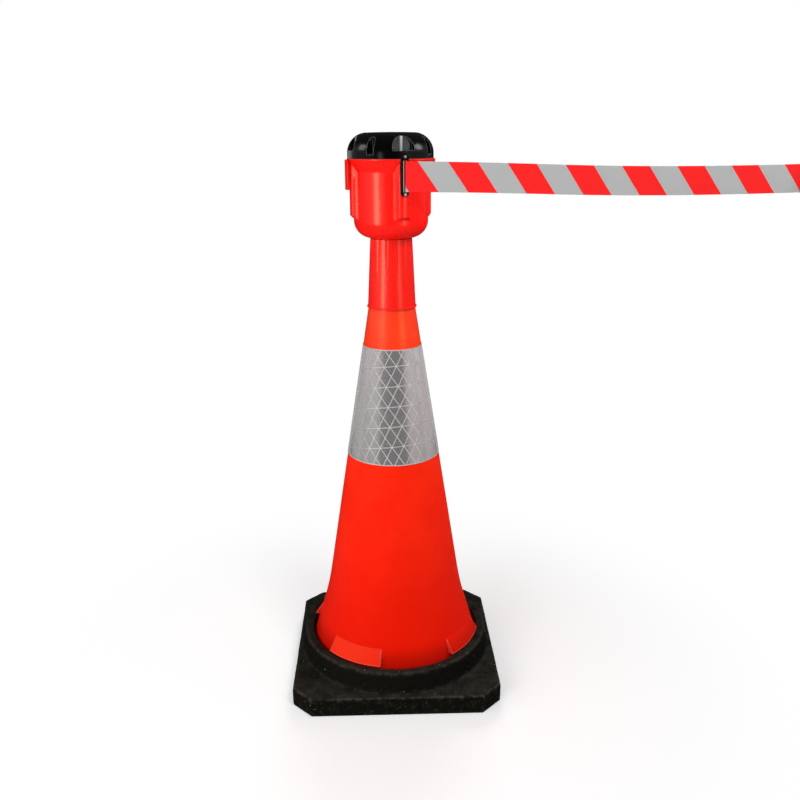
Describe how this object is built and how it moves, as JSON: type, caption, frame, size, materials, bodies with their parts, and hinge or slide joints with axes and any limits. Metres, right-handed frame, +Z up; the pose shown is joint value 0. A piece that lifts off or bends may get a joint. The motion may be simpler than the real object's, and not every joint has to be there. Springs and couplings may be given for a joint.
{
  "type": "retractable barrier belt on a traffic cone",
  "caption": "Traffic cone with a heavy rubber base, a reflective collar and a swivelling belt head whose striped barrier belt pulls out sideways.",
  "frame": {"origin": "on the floor under the middle of the rubber base", "axes": "+Z up along the cone, -Y towards the viewer of the picture, +X along the base's front edge towards the belt's end"},
  "size_m": [0.9406, 0.38, 1],
  "materials": {
    "black_rubber": "moulded recycled rubber, matte and dusty",
    "cone_pvc": "soft orange-red moulded PVC",
    "reflective_film": "grey prismatic reflective film",
    "sleeve_pvc": "red satin plastic",
    "red_housing": "red gloss plastic",
    "black_gloss": "black gloss plastic",
    "black_steel": "black oxide steel",
    "zinc_steel": "zinc plated steel",
    "spring_steel": "blued spring steel",
    "nylon": "natural nylon",
    "spool_plastic": "dark grey moulded plastic",
    "belt_webbing": "woven belt, red and grey slanted stripes"
  },
  "bodies": {
    "cone": {"rubber_base": "black_rubber", "cone_shell": "cone_pvc", "reflective_collar": "reflective_film"},
    "sleeve": {"cone_sleeve": "sleeve_pvc", "thrust_washer": "nylon"},
    "head": {"head_housing": "red_housing", "top_cap": "black_gloss", "cap_screws": "black_steel", "slot_trim": "black_gloss", "trim_screws": "black_steel", "belt_receiver_left": "red_housing", "belt_receiver_back": "red_housing", "belt_receiver_right": "red_housing", "receiver_screws": "zinc_steel", "spindle": "zinc_steel", "swivel_bolt": "zinc_steel", "swivel_washer": "zinc_steel", "spindle_top_washer": "zinc_steel", "spindle_clip": "spring_steel", "belt_lead": "belt_webbing", "belt_free": "belt_webbing"},
    "spool_set": {"spool": "spool_plastic", "spool_top_flange": "spool_plastic", "flange_screws": "zinc_steel", "upper_bush": "nylon", "lower_bush": "nylon", "barrel_cover": "spool_plastic", "cover_screws": "zinc_steel", "mainspring": "spring_steel", "belt_roll": "belt_webbing", "belt_anchor_pin": "zinc_steel"},
    "belt_end": {"end_clip_body": "black_gloss", "end_clip_clamp": "black_gloss", "end_clip_rivets": "zinc_steel"}
  },
  "joints": [
    {"name": "head_lift", "type": "slide", "parent": "cone", "child": "sleeve", "axis": [0, 0, 1], "range_m": [0, 0.15]},
    {"name": "head_swivel", "type": "hinge", "parent": "sleeve", "child": "head", "pos_m": [0, 0, 0.827], "axis": [0, 0, 1], "continuous": true},
    {"name": "belt_pull", "type": "slide", "parent": "head", "child": "belt_end", "axis": [0.9901, 0.1391, -0.0182], "range_m": [-0.675, 0], "deforming": ["belt_free"]},
    {"name": "spool_spin", "type": "hinge", "parent": "head", "child": "spool_set", "pos_m": [0, 0, 0.93], "axis": [0, 0, 1], "range_deg": [0, 850], "deforming": ["mainspring"]}
  ],
  "couplings": [
    {"joint": "spool_spin", "follows": "belt_pull", "rad_per_m": -21.576}
  ]
}
